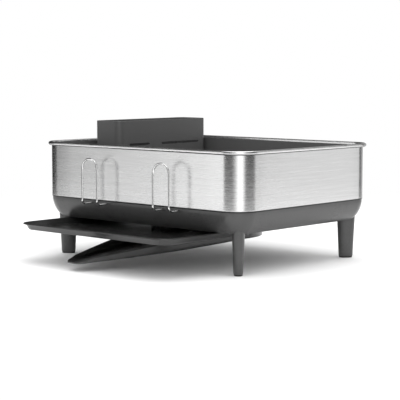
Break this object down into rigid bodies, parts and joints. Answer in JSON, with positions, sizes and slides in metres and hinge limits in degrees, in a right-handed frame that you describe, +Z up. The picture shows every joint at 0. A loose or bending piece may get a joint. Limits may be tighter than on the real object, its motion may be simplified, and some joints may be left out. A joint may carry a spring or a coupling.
{
  "type": "dish drying rack",
  "caption": "Countertop dish drying rack: steel band on a plastic drip tub with legs, lift-out plate rack, utensil caddy, cup hooks, slide-out drip tray and swivel drain spout.",
  "frame": {"origin": "point of the worktop under the middle of the steel band", "axes": "+Z up, -Y to the front (tray, spout and cup hooks), +X to the right along the long side"},
  "size_m": [0.441, 0.4374, 0.2175],
  "materials": {
    "steel_band": "satin brushing that runs level round the band, with a brighter rolled rim",
    "hook_wire": "polished round stainless wire",
    "screw_steel": "plain zinc screws",
    "dark_plastic": "moulded, fine matte grain",
    "rack_plastic": "moulded, fine matte grain",
    "caddy_plastic": "moulded, fine matte grain",
    "spout_plastic": "moulded, satin",
    "washer_plastic": "slippery natural plastic",
    "pad_rubber": "soft matte rubber"
  },
  "bodies": {
    "rack_base": {"base_tub": "dark_plastic", "clip_screws": "screw_steel", "cup_hook_left": "hook_wire", "cup_hook_right": "hook_wire", "foot_pad_back_left": "pad_rubber", "foot_pad_back_right": "pad_rubber", "foot_pad_front_left": "pad_rubber", "foot_pad_front_right": "pad_rubber", "hook_clip_left": "dark_plastic", "hook_clip_right": "dark_plastic", "leg_back_left": "dark_plastic", "leg_back_right": "dark_plastic", "leg_front_left": "dark_plastic", "leg_front_right": "dark_plastic", "leg_screws": "screw_steel", "runner_screws": "screw_steel", "spout_lock_ring": "screw_steel", "spout_washer": "washer_plastic", "steel_band": "steel_band", "tray_runner_left": "dark_plastic", "tray_runner_right": "dark_plastic"},
    "tray": {"drip_tray": "dark_plastic"},
    "spout": {"drain_spout": "spout_plastic"},
    "rack_insert": {"plate_rack": "rack_plastic", "plate_comb_front": "rack_plastic", "plate_comb_back": "rack_plastic"},
    "caddy": {"utensil_caddy": "caddy_plastic", "caddy_divider_front": "caddy_plastic", "caddy_divider_back": "caddy_plastic"}
  },
  "joints": [
    {"name": "tray_slide", "type": "slide", "parent": "rack_base", "child": "tray", "axis": [0, -1, 0], "range_m": [-0.105, 0.09]},
    {"name": "spout_swivel", "type": "hinge", "parent": "rack_base", "child": "spout", "pos_m": [0, 0.013, 0.0405], "axis": [0, 0, 1], "range_deg": [-34, 45]},
    {"name": "rack_lift", "type": "slide", "parent": "rack_base", "child": "rack_insert", "axis": [0, 0, 1], "range_m": [0, 0.1]},
    {"name": "caddy_lift", "type": "slide", "parent": "rack_insert", "child": "caddy", "axis": [0, 0, 1], "range_m": [0, 0.1]}
  ]
}
